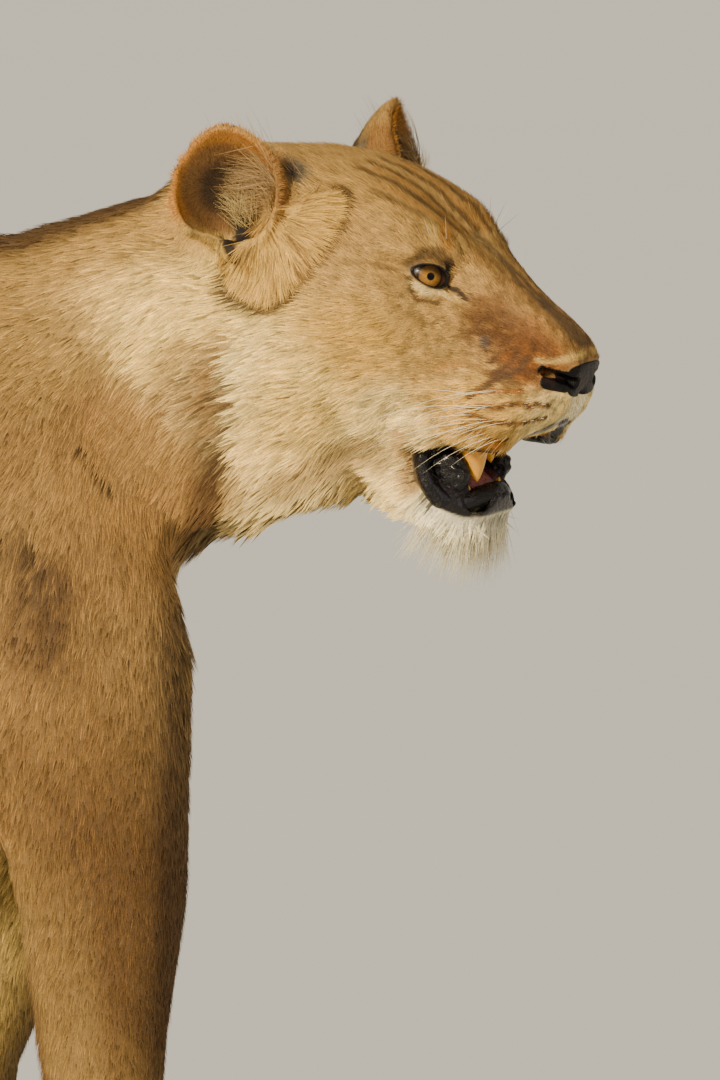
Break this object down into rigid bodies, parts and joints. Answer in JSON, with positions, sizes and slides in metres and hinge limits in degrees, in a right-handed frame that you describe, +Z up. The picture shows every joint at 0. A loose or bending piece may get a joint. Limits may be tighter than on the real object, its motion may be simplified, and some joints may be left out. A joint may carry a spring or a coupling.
{
  "type": "lioness",
  "caption": "Life-size standing lioness with her head turned to her right and mouth slightly open, a still museum-style model.",
  "frame": {"origin": "on the floor, under the middle of the bounding box", "axes": "+X the way the lioness's body faces, +Y her left side, +Z up"},
  "size_m": [1.8386, 0.3662, 1.02],
  "materials": {
    "coat": "matte",
    "tail_tuft": "matte",
    "nose_leather": "satin",
    "eye": "gloss",
    "tongue": "satin"
  },
  "bodies": {
    "root": {"head": "coat", "lower_jaw": "coat", "neck": "coat", "chest": "coat", "loin": "coat", "hindquarters": "coat", "tail_base": "coat", "tail_middle": "coat", "tail_end": "coat", "upper_foreleg_right": "coat", "upper_foreleg_left": "coat", "forearm_right": "coat", "forearm_left": "coat", "forepaw_right": "coat", "forepaw_left": "coat", "thigh_right": "coat", "thigh_left": "coat", "lower_hindleg_right": "coat", "lower_hindleg_left": "coat", "hindpaw_right": "coat", "hindpaw_left": "coat", "ear_right": "coat", "ear_left": "coat", "tail_tuft": "tail_tuft", "nose": "nose_leather", "eye_right": "eye", "eye_left": "eye", "tongue": "tongue"}
  },
  "joints": []
}
